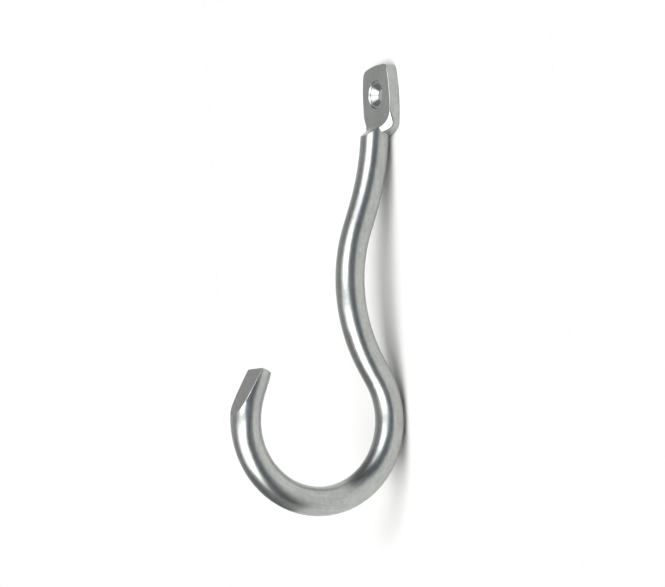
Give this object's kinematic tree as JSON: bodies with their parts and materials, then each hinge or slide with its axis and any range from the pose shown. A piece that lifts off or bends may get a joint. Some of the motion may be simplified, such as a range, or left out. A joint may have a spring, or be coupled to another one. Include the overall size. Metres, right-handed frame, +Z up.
{
  "type": "coat hook",
  "caption": "Tall coat hook bent from round steel bar, with a flat countersunk fixing lug at the top and an open round loop that ends in a flattened tip.",
  "frame": {"origin": "on the axis of the screw hole, in the plane of the wall, which is the lug's back face", "axes": "+Z up along the wall, +Y into the wall, so the hook stands out along -Y, and X across the hook, which is the same on both sides of the plane X = 0"},
  "size_m": [0.019, 0.0646, 0.1548],
  "materials": {
    "steel": "satin"
  },
  "bodies": {
    "root": {"hook": "steel"}
  },
  "joints": []
}
